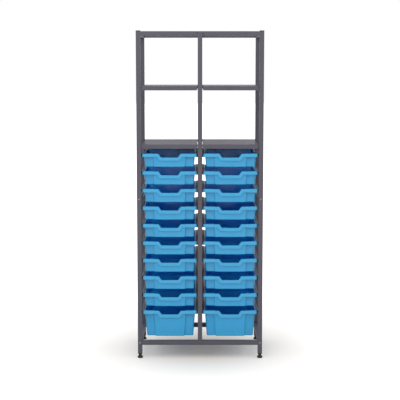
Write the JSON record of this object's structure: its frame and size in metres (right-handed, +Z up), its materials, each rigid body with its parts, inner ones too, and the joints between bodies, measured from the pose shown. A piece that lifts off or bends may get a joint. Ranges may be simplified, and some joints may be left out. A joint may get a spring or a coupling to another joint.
{
  "type": "classroom tray storage unit",
  "caption": "Tall free-standing steel tube rack with two columns of sliding plastic trays under open shelves, on levelling feet.",
  "frame": {"origin": "centre of the footprint, at floor level under the levelling feet", "axes": "+Z up, +X to the right and +Y to the back, seen by someone who faces the tray fronts"},
  "size_m": [0.71, 0.435, 1.842],
  "materials": {
    "frame_steel": "dark grey powder coat, fine texture, satin",
    "shelf_steel": "grey powder coat, fine texture, satin",
    "tray_plastic": "sky blue injection-moulded plastic, glossy rim, fine grain on the walls",
    "black_plastic": "black moulded plastic, matt",
    "plated_steel": "zinc-plated steel"
  },
  "bodies": {
    "frame": {"bottom_rail_front": "frame_steel", "bottom_rail_rear": "frame_steel", "centre_connectors": "black_plastic", "centre_side_rails": "frame_steel", "centre_upright_front": "frame_steel", "centre_upright_rear": "frame_steel", "leg_inserts": "black_plastic", "runners_left_column_left": "frame_steel", "runners_left_column_right": "frame_steel", "runners_right_column_left": "frame_steel", "runners_right_column_right": "frame_steel", "shelf_lower_left": "shelf_steel", "shelf_lower_right": "shelf_steel", "shelf_lugs": "frame_steel", "shelf_upper_left": "shelf_steel", "shelf_upper_right": "shelf_steel", "side_rail_bolts": "plated_steel", "side_rail_nuts": "plated_steel", "side_rails_left": "frame_steel", "side_rails_right": "frame_steel", "top_caps": "black_plastic", "top_rail_front": "frame_steel", "top_rail_rear": "frame_steel", "upright_front_left": "frame_steel", "upright_front_right": "frame_steel", "upright_rear_left": "frame_steel", "upright_rear_right": "frame_steel"},
    "tray_left_01": {"tray_left_01": "tray_plastic"},
    "tray_left_02": {"tray_left_02": "tray_plastic"},
    "tray_left_03": {"tray_left_03": "tray_plastic"},
    "tray_left_04": {"tray_left_04": "tray_plastic"},
    "tray_left_05": {"tray_left_05": "tray_plastic"},
    "tray_left_06": {"tray_left_06": "tray_plastic"},
    "tray_left_07": {"tray_left_07": "tray_plastic"},
    "tray_left_08": {"tray_left_08": "tray_plastic"},
    "tray_left_09": {"tray_left_09": "tray_plastic"},
    "tray_left_10": {"tray_left_10": "tray_plastic"},
    "tray_right_01": {"tray_right_01": "tray_plastic"},
    "tray_right_02": {"tray_right_02": "tray_plastic"},
    "tray_right_03": {"tray_right_03": "tray_plastic"},
    "tray_right_04": {"tray_right_04": "tray_plastic"},
    "tray_right_05": {"tray_right_05": "tray_plastic"},
    "tray_right_06": {"tray_right_06": "tray_plastic"},
    "tray_right_07": {"tray_right_07": "tray_plastic"},
    "tray_right_08": {"tray_right_08": "tray_plastic"},
    "tray_right_09": {"tray_right_09": "tray_plastic"},
    "tray_right_10": {"tray_right_10": "tray_plastic"},
    "foot_front_left": {"levelling_pad_front_left": "black_plastic", "levelling_stud_front_left": "plated_steel"},
    "foot_front_right": {"levelling_pad_front_right": "black_plastic", "levelling_stud_front_right": "plated_steel"},
    "foot_rear_left": {"levelling_pad_rear_left": "black_plastic", "levelling_stud_rear_left": "plated_steel"},
    "foot_rear_right": {"levelling_pad_rear_right": "black_plastic", "levelling_stud_rear_right": "plated_steel"}
  },
  "joints": [
    {"name": "tray_left_01_slide", "type": "slide", "parent": "frame", "child": "tray_left_01", "axis": [0, -1, 0], "range_m": [0, 0.4]},
    {"name": "tray_left_02_slide", "type": "slide", "parent": "frame", "child": "tray_left_02", "axis": [0, -1, 0], "range_m": [0, 0.4]},
    {"name": "tray_left_03_slide", "type": "slide", "parent": "frame", "child": "tray_left_03", "axis": [0, -1, 0], "range_m": [0, 0.4]},
    {"name": "tray_left_04_slide", "type": "slide", "parent": "frame", "child": "tray_left_04", "axis": [0, -1, 0], "range_m": [0, 0.4]},
    {"name": "tray_left_05_slide", "type": "slide", "parent": "frame", "child": "tray_left_05", "axis": [0, -1, 0], "range_m": [0, 0.4]},
    {"name": "tray_left_06_slide", "type": "slide", "parent": "frame", "child": "tray_left_06", "axis": [0, -1, 0], "range_m": [0, 0.4]},
    {"name": "tray_left_07_slide", "type": "slide", "parent": "frame", "child": "tray_left_07", "axis": [0, -1, 0], "range_m": [0, 0.4]},
    {"name": "tray_left_08_slide", "type": "slide", "parent": "frame", "child": "tray_left_08", "axis": [0, -1, 0], "range_m": [0, 0.4]},
    {"name": "tray_left_09_slide", "type": "slide", "parent": "frame", "child": "tray_left_09", "axis": [0, -1, 0], "range_m": [0, 0.4]},
    {"name": "tray_left_10_slide", "type": "slide", "parent": "frame", "child": "tray_left_10", "axis": [0, -1, 0], "range_m": [0, 0.4]},
    {"name": "tray_right_01_slide", "type": "slide", "parent": "frame", "child": "tray_right_01", "axis": [0, -1, 0], "range_m": [0, 0.4]},
    {"name": "tray_right_02_slide", "type": "slide", "parent": "frame", "child": "tray_right_02", "axis": [0, -1, 0], "range_m": [0, 0.4]},
    {"name": "tray_right_03_slide", "type": "slide", "parent": "frame", "child": "tray_right_03", "axis": [0, -1, 0], "range_m": [0, 0.4]},
    {"name": "tray_right_04_slide", "type": "slide", "parent": "frame", "child": "tray_right_04", "axis": [0, -1, 0], "range_m": [0, 0.4]},
    {"name": "tray_right_05_slide", "type": "slide", "parent": "frame", "child": "tray_right_05", "axis": [0, -1, 0], "range_m": [0, 0.4]},
    {"name": "tray_right_06_slide", "type": "slide", "parent": "frame", "child": "tray_right_06", "axis": [0, -1, 0], "range_m": [0, 0.4]},
    {"name": "tray_right_07_slide", "type": "slide", "parent": "frame", "child": "tray_right_07", "axis": [0, -1, 0], "range_m": [0, 0.4]},
    {"name": "tray_right_08_slide", "type": "slide", "parent": "frame", "child": "tray_right_08", "axis": [0, -1, 0], "range_m": [0, 0.4]},
    {"name": "tray_right_09_slide", "type": "slide", "parent": "frame", "child": "tray_right_09", "axis": [0, -1, 0], "range_m": [0, 0.4]},
    {"name": "tray_right_10_slide", "type": "slide", "parent": "frame", "child": "tray_right_10", "axis": [0, -1, 0], "range_m": [0, 0.4]},
    {"name": "foot_front_left_height", "type": "slide", "parent": "frame", "child": "foot_front_left", "axis": [0, 0, -1], "range_m": [0, 0.012]},
    {"name": "foot_front_right_height", "type": "slide", "parent": "frame", "child": "foot_front_right", "axis": [0, 0, -1], "range_m": [0, 0.012]},
    {"name": "foot_rear_left_height", "type": "slide", "parent": "frame", "child": "foot_rear_left", "axis": [0, 0, -1], "range_m": [0, 0.012]},
    {"name": "foot_rear_right_height", "type": "slide", "parent": "frame", "child": "foot_rear_right", "axis": [0, 0, -1], "range_m": [0, 0.012]}
  ]
}
